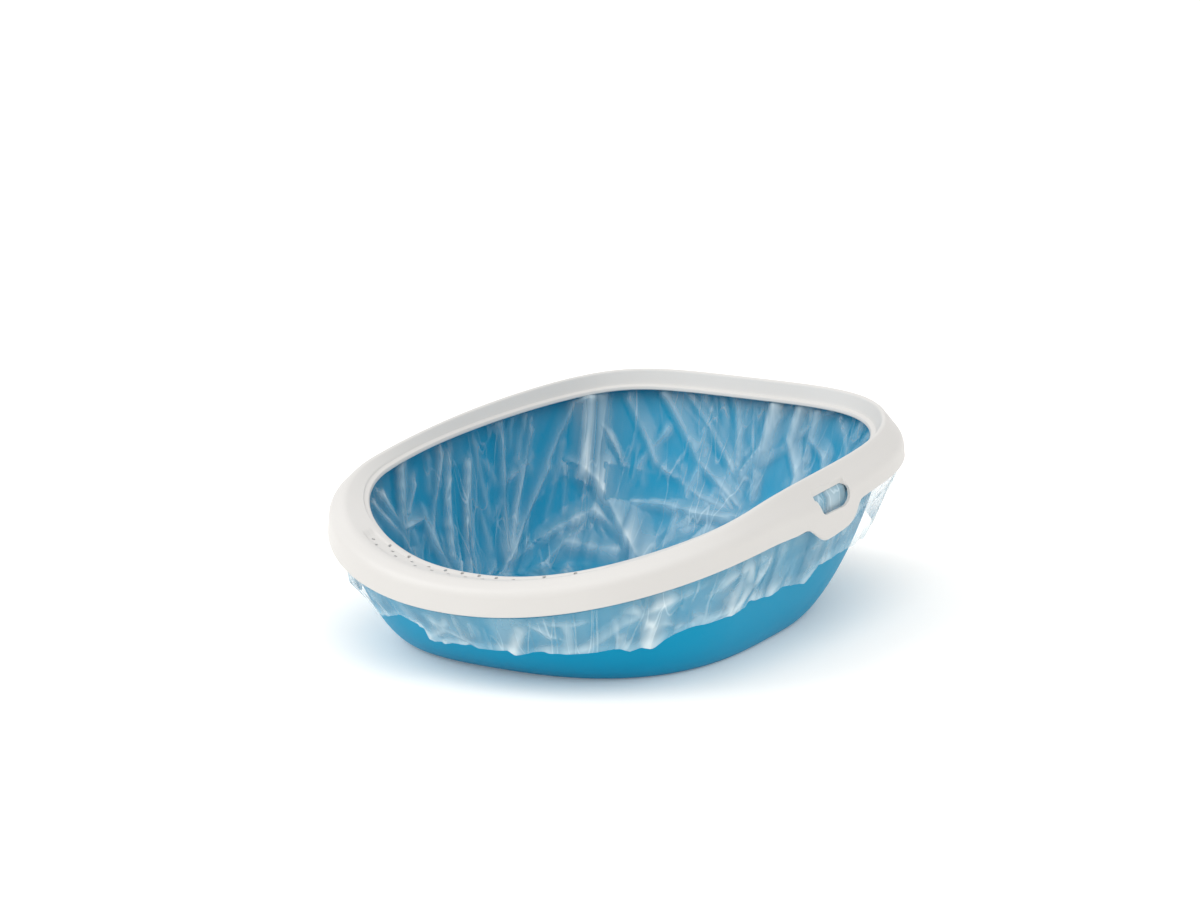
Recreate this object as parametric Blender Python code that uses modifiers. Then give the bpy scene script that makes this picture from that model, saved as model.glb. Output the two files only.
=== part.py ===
"""Open cat litter tray with a clip-on rim and a film liner bag. Metres, +Z up.

The tray stands on z = 0. -Y is the low entry at the front and +Y the high back. The object is
symmetric about x = 0, and the origin is the middle of its footprint.

Heights and insets along the rim are measured from the skirt's lower edge: "inset" is the distance
towards the inside, and "up" is the height above that edge.
"""

import math

import bmesh
import bpy
import numpy as np
from mathutils import Vector

# Overall
LENGTH = 0.500
WIDTH = 0.373  # before the outline's slight widening to the back
GAP = 0.0003  # between pieces that touch
STATIONS = 72  # points round every outline

# Rim outline, at the skirt's lower edge: a round nose and a squarer back that meet at RIM_MIDDLE
RIM_MIDDLE = -0.0865
RIM_FRONT_POWER = 2.1
RIM_BACK_POWER = 3.8
RIM_WIDENING = 0.049
SKIRT_HEIGHTS = (0.0618, 0.1017, 0.1097, 0.1212)  # at the front, one third, two thirds, the back
SKIRT_DIP = 0.0073  # the skirt and its crease hang lower round the latches
DIP_Y = -0.0126
DIP_HALF = 0.066

# Rim section
RIM_WALL = 0.0022
CREASE_INSET = 0.0013
CREASE_UP = (0.0189, 0.0136)  # front, back
RIDGE_INSET = (0.0112, 0.0178)
RIDGE_UP = (0.0253, 0.0345)
LAND_WIDTH = 0.0114
ENTRY_LAND_EXTRA = 0.0208  # the land is this much wider at the middle of the entry
LAND_DROP = (0.0035, 0.0131)
INNER_LIP = 0.0045

# Tray
TRAY_WALL = 0.0022
FLOOR = TRAY_WALL
BASE_WIDTH = 0.275
BASE_FRONT = -0.173
BASE_BACK = 0.130
BASE_MIDDLE = -0.005
BASE_FRONT_POWER = 2.7
BASE_BACK_POWER = 3.3
BASE_WIDENING = -0.045
WALL_POWER = 1.45  # 1 is a straight wall, more is rounder at its foot
FLANGE_REACH = 0.0058  # from the crease inwards to the flange's outer edge

# Film liner, drawn as a thin plain shell
FILM = 0.0006
FILM_LIFT = 0.0015  # from the tray's inner face to the film's own inner face
FILM_INSET = 0.0053
FILM_HANG = 0.042

# Latches, one in the middle of each long side
LATCH_Y = 0.018
LATCH_HALF = 0.040
LATCH_TOP_UP = 0.0270
LATCH_TOP_GAP = 0.0007  # room for the tab's top corner to turn in
LOBE_DROP = 0.0140
LOBE_BLANK = 0.020  # how far the skirt is carried down before the lobe is cut from it
LOBE_FLAT_HALF = 0.019
LOBE_CORNER = 0.006
WINDOW_HALF = 0.0240
WINDOW_LOW_UP = 0.0048
WINDOW_HIGH_UP = 0.0205
WINDOW_CORNER = 0.0035
CATCH_HALF = 0.0205
CATCH_LOW_UP = 0.0030
CATCH_HIGH_UP = 0.0145
CATCH_INSET = 0.0072
NOTCH_DEPTH = 0.0165  # from the skirt inwards, past the band's wall and short of the land
CUTTER_REACH = 0.215  # outer end of the cutters, clear of the skirt


def srgb(hex_code):
    """Linear RGBA of an sRGB hex colour."""
    channels = [int(hex_code[i : i + 2], 16) / 255 for i in (0, 2, 4)]
    linear = [c / 12.92 if c <= 0.04045 else ((c + 0.055) / 1.055) ** 2.4 for c in channels]
    return (*linear, 1.0)


def plastic(name, hex_code, roughness, alpha=1.0):
    material = bpy.data.materials.new(name)
    material.use_nodes = True
    shader = material.node_tree.nodes["Principled BSDF"]
    shader.inputs["Base Color"].default_value = srgb(hex_code)
    shader.inputs["Roughness"].default_value = roughness
    shader.inputs["Metallic"].default_value = 0.0
    shader.inputs["Alpha"].default_value = alpha
    return material


def along(y):
    """0 at the rim's front, 1 at its back."""
    return (y + LENGTH / 2) / LENGTH


def between(ends, y):
    """A value that goes evenly from ends[0] at the rim's front to ends[1] at its back."""
    return ends[0] + (ends[1] - ends[0]) * along(y)


SKIRT_CURVE = np.polyfit((0, 1 / 3, 2 / 3, 1), SKIRT_HEIGHTS, 3)


def dip(y):
    """How much lower the skirt hangs here, round the latches."""
    return SKIRT_DIP * np.exp(-(((y - DIP_Y) / DIP_HALF) ** 2))


def skirt_height(y):
    return np.polyval(SKIRT_CURVE, along(y)) - dip(y)


def outline(width, front, back, middle, front_power, back_power, widening):
    """Points evenly spaced round a closed outline, from the front's middle towards +X, and their
    outward normals. Each end is a superellipse, and the two meet where the outline is widest."""
    turn = np.linspace(-math.pi / 2, math.pi / 2, 4001)
    cosine, sine = np.abs(np.cos(turn)), np.sin(turn)
    power = np.where(sine < 0, front_power, back_power)
    reach = np.where(sine < 0, middle - front, back - middle)
    y = middle + reach * np.sign(sine) * np.abs(sine) ** (2 / power)
    x = width / 2 * cosine ** (2 / power) * (1 + widening * (y - middle) / (LENGTH / 2))
    x[0] = x[-1] = 0.0
    length = np.concatenate([[0.0], np.cumsum(np.hypot(np.diff(x), np.diff(y)))])
    even = np.linspace(0, length[-1], STATIONS // 2 + 1)
    step = length[-1] / 400
    before, after = np.maximum(even - step, 0), np.minimum(even + step, length[-1])
    tangent_x = np.interp(after, length, x) - np.interp(before, length, x)
    tangent_y = np.interp(after, length, y) - np.interp(before, length, y)
    tangent_y[0] = tangent_y[-1] = 0.0
    half = np.column_stack([np.interp(even, length, x), np.interp(even, length, y)])
    normals = np.column_stack([tangent_y, -tangent_x])
    normals /= np.linalg.norm(normals, axis=1)[:, None]
    mirror = np.array([-1.0, 1.0])
    return np.vstack([half, half[-2:0:-1] * mirror]), np.vstack([normals, normals[-2:0:-1] * mirror])


RIM_LINE, RIM_NORMAL = outline(
    WIDTH, -LENGTH / 2, LENGTH / 2, RIM_MIDDLE, RIM_FRONT_POWER, RIM_BACK_POWER, RIM_WIDENING
)
BASE_LINE, BASE_NORMAL = outline(
    BASE_WIDTH, BASE_FRONT, BASE_BACK, BASE_MIDDLE, BASE_FRONT_POWER, BASE_BACK_POWER, BASE_WIDENING
)
SKIRT_Y = RIM_LINE[:, 1]
SKIRT_Z = skirt_height(SKIRT_Y)


def rim_loop(inset, up):
    """A loop of points this far inside the rim's outline and above the skirt's lower edge."""
    flat = RIM_LINE - RIM_NORMAL * np.broadcast_to(inset, STATIONS)[:, None]
    return np.column_stack([flat, SKIRT_Z + up])


def crease():
    """Inset and height of the soft crease between the skirt and the band above it."""
    return CREASE_INSET, between(CREASE_UP, SKIRT_Y)


def ridge():
    """Inset and height of the ridge, the rim's highest line."""
    return between(RIDGE_INSET, SKIRT_Y), between(RIDGE_UP, SKIRT_Y) + dip(SKIRT_Y)


def inner_edge():
    """Inset and height of the land's inner edge, which is widest and flattest at the entry."""
    inset, up = ridge()
    towards_front = np.maximum(-SKIRT_Y, 0) / (LENGTH / 2)
    width = LAND_WIDTH + ENTRY_LAND_EXTRA * towards_front**2
    return inset + width, up - between(LAND_DROP, SKIRT_Y)


def tray_top():
    """Inset and height of the tray wall's top, on the side where the film lies."""
    inset, up = ridge()
    return inset + 0.0006, up - 0.0070


def tray_loop(share, lift=0.0):
    """A loop on the tray's inner wall: share 0 is the floor's edge and 1 the wall's top. lift moves
    it off the wall, towards the inside."""
    reach = (1 - (1 - share) ** WALL_POWER) ** (1 / WALL_POWER)
    inset, up = tray_top()
    top = rim_loop(inset + lift, up)
    foot = np.column_stack([BASE_LINE - BASE_NORMAL * lift, np.full(STATIONS, FLOOR + lift)])
    loop = foot + (top - foot) * reach
    loop[:, 2] = foot[:, 2] + (top[:, 2] - foot[:, 2]) * share
    return loop


def tray_inset_at(y, height):
    """The x of the tray's inner wall on the +X side at this y and height."""
    stations = slice(STATIONS // 8, 3 * STATIONS // 8)
    found = []
    for share in np.linspace(0.2, 1.0, 33):
        loop = tray_loop(share)[stations]
        found.append([np.interp(y, loop[:, 1], loop[:, axis]) for axis in (0, 2)])
    found = np.array(found)
    return float(np.interp(height, found[:, 1], found[:, 0]))


def side_x(y):
    """The x of the skirt's lower edge on the +X side."""
    stations = slice(STATIONS // 8, 3 * STATIONS // 8)
    return float(np.interp(y, RIM_LINE[stations, 1], RIM_LINE[stations, 0]))


def strip(name, loops, material, collection, closed_by=None):
    """A mesh that joins loops of STATIONS points with quads. closed_by fills the first loop towards
    this many rings of its own centre, for a floor."""
    mesh = bpy.data.meshes.new(name)
    work = bmesh.new()
    rows = [[work.verts.new(point) for point in loop] for loop in loops]
    for lower, upper in zip(rows, rows[1:]):
        for i in range(STATIONS):
            j = (i + 1) % STATIONS
            work.faces.new((lower[i], lower[j], upper[j], upper[i]))
    if closed_by is not None:
        centre = work.verts.new(closed_by)
        for i in range(STATIONS):
            work.faces.new((centre, rows[0][(i + 1) % STATIONS], rows[0][i]))
    work.normal_update()
    work.to_mesh(mesh)
    work.free()
    mesh.shade_smooth()
    mesh.set_sharp_from_angle(angle=math.radians(35))
    obj = bpy.data.objects.new(name, mesh)
    collection.objects.link(obj)
    obj.data.materials.append(material)
    return obj


def thicken(obj, thickness, offset):
    """Gives an open surface its wall: offset 1 grows it along the faces' normals, -1 against."""
    modifier = obj.modifiers.new("Wall", "SOLIDIFY")
    modifier.thickness = thickness
    modifier.offset = offset
    modifier.use_even_offset = True
    modifier.use_rim = True
    return modifier


def combine(obj, other, operation):
    modifier = obj.modifiers.new(other.name, "BOOLEAN")
    modifier.operation = operation
    modifier.solver = "EXACT"
    modifier.object = other
    return modifier


def prism(name, corners, low_x, high_x, collection):
    """A solid with this outline of (y, z) corners, from low_x to high_x. It is a cutter."""
    mesh = bpy.data.meshes.new(name)
    work = bmesh.new()
    near = [work.verts.new((low_x, y, z)) for y, z in corners]
    face = work.faces.new(near)
    extruded = bmesh.ops.extrude_face_region(work, geom=[face])
    moved = [v for v in extruded["geom"] if isinstance(v, bmesh.types.BMVert)]
    bmesh.ops.translate(work, verts=moved, vec=Vector((high_x - low_x, 0, 0)))
    bmesh.ops.recalc_face_normals(work, faces=work.faces)
    work.to_mesh(mesh)
    work.free()
    obj = bpy.data.objects.new(name, mesh)
    obj.hide_render = True
    obj.display_type = "WIRE"
    collection.objects.link(obj)
    return obj


def rounded_corner(centre_y, centre_z, radius, start_deg, steps=4):
    """Points of a quarter circle, anticlockwise from start_deg."""
    angles = [math.radians(start_deg + 90 * k / steps) for k in range(steps + 1)]
    return [(centre_y + radius * math.cos(a), centre_z + radius * math.sin(a)) for a in angles]


def window_outline():
    """The latch's window, a rounded rectangle of (y, z) corners."""
    height = skirt_height(LATCH_Y)
    half, corner = WINDOW_HALF, WINDOW_CORNER
    low, high = height + WINDOW_LOW_UP, height + WINDOW_HIGH_UP
    corners = []
    for y_sign, z_centre, start in ((1, high, 0), (-1, high, 90), (-1, low, 180), (1, low, 270)):
        z = z_centre - corner if z_centre == high else z_centre + corner
        corners += rounded_corner(LATCH_Y + y_sign * (half - corner), z, corner, start)
    return corners


def lobe_outline():
    """The latch tab seen from the side, as (y, z) corners: square at its top, with a lobe that
    hangs below the skirt."""
    height = skirt_height(LATCH_Y)
    top, skirt, low = height + LATCH_TOP_UP, height, height - LOBE_DROP
    left, right = LATCH_Y - LATCH_HALF, LATCH_Y + LATCH_HALF
    corners = [(right, skirt), (right, top), (left, top), (left, skirt)]
    corners += rounded_corner(LATCH_Y - LOBE_FLAT_HALF, low + LOBE_CORNER, LOBE_CORNER, 205, 3)[:4]
    corners += rounded_corner(LATCH_Y + LOBE_FLAT_HALF, low + LOBE_CORNER, LOBE_CORNER, 245, 3)[:4]
    return corners


def build_tray(parts, cutters, material):
    """The blue pan: floor, flaring wall, and a rolled flange that the rim sits over."""
    shares = (0.0, 0.03, 0.10, 0.25, 0.50, 0.78, 1.0)
    loops = [tray_loop(share) for share in shares]
    crease_inset, crease_up = crease()
    loops.append(rim_loop(crease_inset + FLANGE_REACH, crease_up - 0.0018))
    loops.append(rim_loop(crease_inset + FLANGE_REACH, crease_up - 0.0062))
    floor_middle = (0.0, (BASE_FRONT + BASE_BACK) / 2, FLOOR)
    tray = strip("tray_pan", loops, material, parts, closed_by=floor_middle)
    thicken(tray, TRAY_WALL, 1.0)
    for side, sign in (("right", 1), ("left", -1)):
        height = skirt_height(LATCH_Y)
        low, high = height + CATCH_LOW_UP, height + CATCH_HIGH_UP
        start = tray_inset_at(LATCH_Y, (low + high) / 2) + TRAY_WALL / 2
        face = side_x(LATCH_Y) - CATCH_INSET
        front, back = LATCH_Y - CATCH_HALF, LATCH_Y + CATCH_HALF
        corners = [(front, low), (back, low), (back, high), (front, high)]
        catch = prism(f"catch_{side}", corners, sign * start, sign * face, cutters)
        combine(tray, catch, "UNION")
    return tray


def rim_section():
    """The rim's outer skin, from the skirt's lower edge over the ridge to the lip inside."""
    crease_inset, crease_up = crease()
    ridge_inset, ridge_up = ridge()
    land_inset, land_up = inner_edge()
    return [
        (0.0, 0.0),
        (crease_inset * 0.8, crease_up - 0.0030),
        (crease_inset + 0.0016, crease_up + 0.0012),
        (ridge_inset - 0.0028, ridge_up - 0.0024),
        (ridge_inset, ridge_up),
        (ridge_inset + 0.0030, ridge_up - 0.0004),
        (land_inset - 0.0016, land_up + 0.0002),
        (land_inset, land_up - 0.0012),
        (land_inset + 0.0003, land_up - INNER_LIP),
    ]


def build_rim(parts, cutters, material):
    """The white ring, with a notch in its skirt on each side where a latch tab hangs."""
    loops = [rim_loop(inset, up) for inset, up in rim_section()]
    rim = strip("rim_frame", loops, material, parts)
    thicken(rim, RIM_WALL, -1.0)
    height = skirt_height(LATCH_Y)
    low, high = height - LOBE_BLANK, height + LATCH_TOP_UP + LATCH_TOP_GAP
    front, back = LATCH_Y - LATCH_HALF - GAP, LATCH_Y + LATCH_HALF + GAP
    corners = [(front, low), (back, low), (back, high), (front, high)]
    for side, sign in (("right", 1), ("left", -1)):
        low_x = side_x(LATCH_Y) - NOTCH_DEPTH
        notch = prism(f"notch_{side}", corners, sign * low_x, sign * CUTTER_REACH, cutters)
        combine(rim, notch, "DIFFERENCE")
    return rim


def build_latch(side, sign, parts, cutters, material):
    """A latch tab: the piece of skirt that flexes outwards, with its lobe and its window. It is cut
    from a deeper ring of the rim's own section, and it hangs from an empty on its flexing line."""
    skirt_flare = CREASE_INSET / between(CREASE_UP, LATCH_Y)
    section = [(-skirt_flare * LOBE_BLANK, -LOBE_BLANK)] + rim_section()[:5]
    loops = [rim_loop(inset, up) for inset, up in section]
    tab = strip(f"latch_tab_{side}", loops, material, parts)
    thicken(tab, RIM_WALL, -1.0)
    low_x = side_x(LATCH_Y) - 2 * NOTCH_DEPTH
    blank = prism(f"lobe_{side}", lobe_outline(), sign * low_x, sign * CUTTER_REACH, cutters)
    window = prism(
        f"window_{side}", window_outline(), sign * (low_x - 0.01), sign * (CUTTER_REACH + 0.01), cutters
    )
    combine(tab, blank, "INTERSECT")
    combine(tab, window, "DIFFERENCE")
    hinge = bpy.data.objects.new(f"flex_line_{side}", None)
    hinge.location = flex_line(sign)
    parts.objects.link(hinge)
    tab.data.transform(hinge.matrix_basis.inverted())
    tab.parent = hinge
    return tab


def flex_line(sign):
    """The middle of the line that a tab flexes about, on the outer skin at the tab's top edge."""
    crease_up = between(CREASE_UP, LATCH_Y)
    ridge_inset = between(RIDGE_INSET, LATCH_Y)
    ridge_up = between(RIDGE_UP, LATCH_Y) + dip(LATCH_Y)
    share = (LATCH_TOP_UP - crease_up) / (ridge_up - crease_up)
    inset = CREASE_INSET + (ridge_inset - CREASE_INSET) * share
    return Vector((sign * (side_x(LATCH_Y) - inset), LATCH_Y, skirt_height(LATCH_Y) + LATCH_TOP_UP))


def build_liner(parts, material):
    """The film bag: over the floor and up the walls, over the flange under the rim, and down
    outside the tray to a loose hem."""
    lift = FILM_LIFT
    shares = (0.0, 0.03, 0.10, 0.25, 0.50, 0.78, 0.97)
    loops = [tray_loop(share, lift) for share in shares]
    top_inset, top_up = tray_top()
    crease_inset, crease_up = crease()
    loops.append(rim_loop(top_inset + 0.0013, top_up + 0.0010))
    loops.append(rim_loop(top_inset - 0.0012, top_up + 0.0019))
    loops.append(rim_loop(FILM_INSET, crease_up - 0.0008))
    loops.append(rim_loop(FILM_INSET, -0.0020))
    hem = rim_loop(0.0, -FILM_HANG)
    wall = tray_loop(1.0)
    for i in range(STATIONS):
        heights = np.array([tray_loop(s)[i] for s in np.linspace(0.0, 1.0, 25)])
        wall[i, :2] = [np.interp(hem[i, 2], heights[:, 2], heights[:, a]) for a in (0, 1)]
    hem[:, :2] = wall[:, :2] + RIM_NORMAL * (TRAY_WALL + 0.0055)
    loops.append(hem)
    floor_middle = (0.0, (BASE_FRONT + BASE_BACK) / 2, FLOOR + lift)
    liner = strip("liner_bag", loops, material, parts, closed_by=floor_middle)
    thicken(liner, FILM, 1.0)
    return liner


def main():
    for obj in list(bpy.data.objects):
        bpy.data.objects.remove(obj)
    scene = bpy.context.scene
    parts = bpy.data.collections.new("litter_tray")
    cutters = bpy.data.collections.new("cutters")
    cutters.hide_render = True
    scene.collection.children.link(parts)
    scene.collection.children.link(cutters)
    blue = plastic("blue_polypropylene", "0A7FA8", 0.35)
    white = plastic("white_polypropylene", "ECEAE5", 0.38)
    film = plastic("clear_film", "DCE8EC", 0.25, alpha=0.35)
    build_tray(parts, cutters, blue)
    build_rim(parts, cutters, white)
    for side, sign in (("right", 1), ("left", -1)):
        build_latch(side, sign, parts, cutters, white)
    build_liner(parts, film)


main()
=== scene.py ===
"""Open cat litter tray with a clip-on rim and a film liner bag: a blue polypropylene pan, a white
polypropylene rim with a latch in the middle of each long side, and a thin film bag between them.

Metres, +Z up. The pan stands on z = 0, -Y is the low entry and +Y the high back. Along the rim,
"inset" is a distance towards the inside from the skirt's lower edge, and "up" a height above it.
"""

import math

import bmesh
import bpy
import numpy as np
from mathutils import Matrix, Vector, kdtree


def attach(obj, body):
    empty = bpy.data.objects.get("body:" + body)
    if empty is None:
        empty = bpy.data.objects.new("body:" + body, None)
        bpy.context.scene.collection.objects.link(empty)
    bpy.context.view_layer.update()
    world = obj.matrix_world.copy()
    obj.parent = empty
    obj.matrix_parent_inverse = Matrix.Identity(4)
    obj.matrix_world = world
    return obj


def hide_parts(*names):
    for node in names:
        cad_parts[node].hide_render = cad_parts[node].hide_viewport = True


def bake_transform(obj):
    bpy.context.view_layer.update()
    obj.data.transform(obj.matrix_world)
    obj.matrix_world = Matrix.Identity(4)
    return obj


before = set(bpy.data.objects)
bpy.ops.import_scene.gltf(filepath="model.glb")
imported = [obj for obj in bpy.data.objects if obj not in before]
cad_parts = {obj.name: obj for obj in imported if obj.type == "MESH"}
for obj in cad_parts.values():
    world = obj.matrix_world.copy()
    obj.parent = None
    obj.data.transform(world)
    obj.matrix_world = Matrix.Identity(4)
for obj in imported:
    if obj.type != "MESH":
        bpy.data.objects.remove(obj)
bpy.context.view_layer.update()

bl_info = {
    "name": "Litter tray with a clip-on rim",
    "version": (1, 0, 0),
    "blender": (4, 5, 0),
    "location": "View3D > Sidebar > Litter tray",
    "description": "Builds an open litter tray, its rim, its latches and its film liner",
    "category": "Add Mesh",
}

# Rim outline and section
LENGTH = 0.500
WIDTH = 0.373
RIM_OUTLINE = (WIDTH, -LENGTH / 2, LENGTH / 2, -0.0865, 2.1, 3.8, 0.049)
BASE_OUTLINE = (0.275, -0.173, 0.130, -0.005, 2.7, 3.3, -0.045)
SKIRT_CURVE = np.polyfit((0, 1 / 3, 2 / 3, 1), (0.0618, 0.1017, 0.1097, 0.1212), 3)
SKIRT_DIP = 0.0073
DIP_Y = -0.0126
DIP_HALF = 0.066
CREASE_INSET = 0.0013
CREASE_UP = (0.0189, 0.0136)
RIDGE_INSET = (0.0112, 0.0178)
RIDGE_UP = (0.0253, 0.0345)
LAND_WIDTH = 0.0114
ENTRY_LAND_EXTRA = 0.0208
LAND_DROP = (0.0035, 0.0131)
INNER_LIP = 0.0045
CREASE_ROUNDING = 0.0055  # from the crease to where its curve starts and ends
RIDGE_ROUNDING = 0.0036
CREASE_ROWS = 8
TAB_BAND_ROWS = 7  # from the crease up to the latch tabs' top
LAND_ROWS = slice(-25, -8)  # of the outer skin, from the ridge towards the land's inner edge
STEP_BACK = 0.0046  # the land steps down this far before its inner edge
STEP_DROP = 0.0011

# Pan
FLOOR = 0.0022
FLOOR_MIDDLE = np.array([0.0, (BASE_OUTLINE[1] + BASE_OUTLINE[2]) / 2])
WALL_POWER = 1.45
FLANGE_REACH = 0.0058

# Latches
LATCH_Y = 0.018
LATCH_HALF = 0.040
LATCH_TOP_UP = 0.0270
LOBE_EDGE = (  # y and height of the skirt's edge above its own line, across a latch
    (-0.044, 0.0), (-0.036, 0.0006), (-0.029, 0.0010), (-0.024, 0.0002), (-0.0175, -0.0036),
    (-0.010, -0.0088), (-0.004, -0.0122), (0.002, -0.0138), (0.010, -0.0141), (0.030, -0.0142),
    (0.039, -0.0138), (0.046, -0.0120), (0.0525, -0.0086), (0.057, -0.0036), (0.061, -0.0008),
    (0.066, 0.0),
)
WINDOW = (  # y, height above the skirt at the latch, and corner radius
    (-0.0010, 0.0044, 0.0045), (0.0350, 0.0053, 0.0050), (0.0425, 0.0098, 0.0040),
    (0.0425, 0.0198, 0.0034), (0.0370, 0.0221, 0.0020), (-0.0100, 0.0192, 0.0030),
)
SCOOP_Y = (-0.0105, 0.0405)
SCOOP_TOP_UP = (0.0248, 0.0268)
SCOOP_DEPTH = 0.0042
SCOOP_FADE_UP = (0.0174, 0.0190)
WINDOW_TOP_UP = 0.0192
WINDOW_TOP_RISE = 0.0029
CATCH_HALF = 0.0205
CATCH_UP = (0.0030, 0.0145)
CATCH_INSET = 0.0072
CATCH_CHAMFER = 0.0022

# Perforated entry
CRESCENT_HALF = 0.106
CRESCENT_MARGIN = (0.0048, 0.0052)  # from the ridge, and from the land's inner edge
RECESS = 0.0014
ENTRY_FRONT = -0.2375  # y of the first row of holes
ENTRY_DEPTH = 0.10
HOLE_MARGIN = 0.0024
CUT_DEPTH = 0.012

# Film
FILM_LIFT = 0.0015
FILM_INSET = 0.0053
FILM_COLUMNS = 640
FILM_SEED = 29
HANGING_ROWS = 32
HIDDEN_STEP = 0.004  # between the unrolled film's rows over the flange
FLOOR_LENGTH = 0.14  # middling length from the floor's middle to its edge
NOT_ON_WALL = 2.0  # a share up the wall that no clear patch reaches
CREST_BEND = 0.0007  # how sharply a fold's crest bends where it is at its whitest; the whitening there is partly crease whitening and partly a painted highlight
# Limits of the film's haze, which also carries painted light on the folds' sides and crests.
HAZE_AND_PAINTED_LIGHT_LIMITS = (0.035, 0.66)
HIDDEN_HAZE = 0.40
CLEAR_SHARE = 0.45
UPPER_RAYS, LOWER_RAYS = 22, 10  # folds that run out from one hub at the back
RAY_HUB = 0.497
RAY_ENDS = (0.556, 0.440)
ROUND = 1.32  # middling length of the pan's wall all the way round
HEM_DROPS = (  # share of the way round from the entry's middle towards +X, and millimetres
    (0.008, 30.2), (0.033, 34.7), (0.058, 35.2), (0.082, 40.0), (0.115, 48.9), (0.122, 45.7),
    (0.143, 43.9), (0.172, 48.0), (0.186, 49.4), (0.188, 43.9), (0.207, 48.0), (0.224, 45.3),
    (0.251, 54.4), (0.264, 45.7), (0.275, 47.0), (0.304, 48.9), (0.344, 45.0), (0.380, 47.5),
    (0.412, 44.0), (0.436, 49.0), (0.438, 45.0), (0.470, 47.0), (0.500, 43.5), (0.531, 48.0),
    (0.566, 45.5), (0.602, 50.0), (0.606, 46.0), (0.640, 44.5), (0.678, 48.5), (0.705, 45.0),
    (0.741, 52.0), (0.744, 46.0), (0.780, 44.0), (0.812, 48.5), (0.842, 46.0), (0.870, 50.5),
    (0.874, 45.0), (0.899, 42.0), (0.921, 37.5), (0.954, 19.7), (0.972, 24.0), (0.974, 33.8),
    (0.983, 31.5),
)
FOLDS = (  # height and half width in millimetres, then share round and share up the wall
    (11.0, 30, ((0.617, 0.90), (0.614, 0.47), (0.600, 0.39), (0.589, 0.28), (0.574, 0.14), (0.556, 0.02))),
    (7.0, 18, ((0.644, 0.14), (0.600, 0.24), (0.575, 0.11))),
    (5.5, 16, ((0.593, 0.28), (0.549, 0.29), (0.515, 0.26), (0.497, 0.26), (0.470, 0.30))),
    (4.5, 13, ((0.724, 0.72), (0.735, 0.15), (0.741, -0.10))),
    (4.0, 12, ((0.744, 0.84), (0.752, 0.22))),
    (5.5, 16, ((0.683, 0.06), (0.644, 0.53))),
    (5.0, 16, ((0.683, 0.06), (0.624, 0.89))),
    (4.5, 14, ((0.683, 0.06), (0.661, 0.78))),
    (4.0, 13, ((0.683, 0.06), (0.688, 0.79), (0.690, 0.92))),
    (4.0, 12, ((0.581, 0.86), (0.557, 0.51))),
    (4.5, 13, ((0.556, 0.90), (0.535, 0.65), (0.525, 0.53), (0.487, 0.32))),
    (3.5, 11, ((0.551, 0.48), (0.519, 0.35), (0.486, 0.29))),
    (6.0, 13, ((0.482, 0.94), (0.485, 0.65), (0.494, 0.50))),
    (4.5, 12, ((0.465, 0.92), (0.468, 0.71), (0.454, 0.52), (0.452, 0.30))),
    (4.0, 11, ((0.453, 0.89), (0.453, 0.73), (0.439, 0.65), (0.428, 0.40))),
    (5.0, 15, ((0.794, 0.92), (0.801, 0.51), (0.778, 0.51), (0.764, 0.22), (0.756, -0.05))),
    (4.5, 14, ((0.801, 0.51), (0.815, 0.78))),
    (5.0, 20, ((0.650, -0.12), (0.625, 0.08), (0.589, 0.04), (0.553, 0.03), (0.500, 0.06))),
)
CLEAR_PATCHES = (  # where the film lies against the pan and hardly shows
    ((0.629, 0.47), (0.603, 0.36), (0.640, 0.25), (0.668, 0.14), (0.655, 0.34)),
    ((0.596, 0.50), (0.566, 0.46), (0.536, 0.44), (0.527, 0.33), (0.592, 0.28)),
    ((0.728, 0.74), (0.743, 0.74), (0.748, 0.18), (0.738, 0.15)),
)

# Camera and lights
AIM = (0.0, 0.0, 0.0769)
AZIMUTH = 30.0
ELEVATION = 14.1
DISTANCE = 2.914
LENS = 109.08
PITCH_UP = 1.153
YAW_LEFT = 0.22
FLOOR_REACH = 20.0


def linear(hex_code):
    """Linear RGBA of an sRGB hex colour."""
    channels = [int(hex_code[i : i + 2], 16) / 255 for i in (0, 2, 4)]
    return (*[c / 12.92 if c <= 0.04045 else ((c + 0.055) / 1.055) ** 2.4 for c in channels], 1.0)


def along(y):
    """0 at the rim's front, 1 at its back."""
    return (y + LENGTH / 2) / LENGTH


def between(ends, y):
    return ends[0] + (ends[1] - ends[0]) * along(y)


def dip(y):
    """How much lower the skirt hangs here, round the latches."""
    return SKIRT_DIP * np.exp(-(((y - DIP_Y) / DIP_HALF) ** 2))


def skirt_height(y):
    return np.polyval(SKIRT_CURVE, along(y)) - dip(y)


def smooth_step(low, high, value):
    t = np.clip((value - low) / (high - low), 0, 1)
    return t * t * (3 - 2 * t)


def half_outline(width, front, back, middle, front_power, back_power, widening):
    """The +X half of an outline, densely: a superellipse at each end. Returns length, x and y."""
    turn = np.linspace(-math.pi / 2, math.pi / 2, 12001)
    cosine, sine = np.abs(np.cos(turn)), np.sin(turn)
    power = np.where(sine < 0, front_power, back_power)
    reach = np.where(sine < 0, middle - front, back - middle)
    y = middle + reach * np.sign(sine) * np.abs(sine) ** (2 / power)
    x = width / 2 * cosine ** (2 / power) * (1 + widening * (y - middle) / (LENGTH / 2))
    x[0] = x[-1] = 0.0
    return np.concatenate([[0.0], np.cumsum(np.hypot(np.diff(x), np.diff(y)))]), x, y


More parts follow.
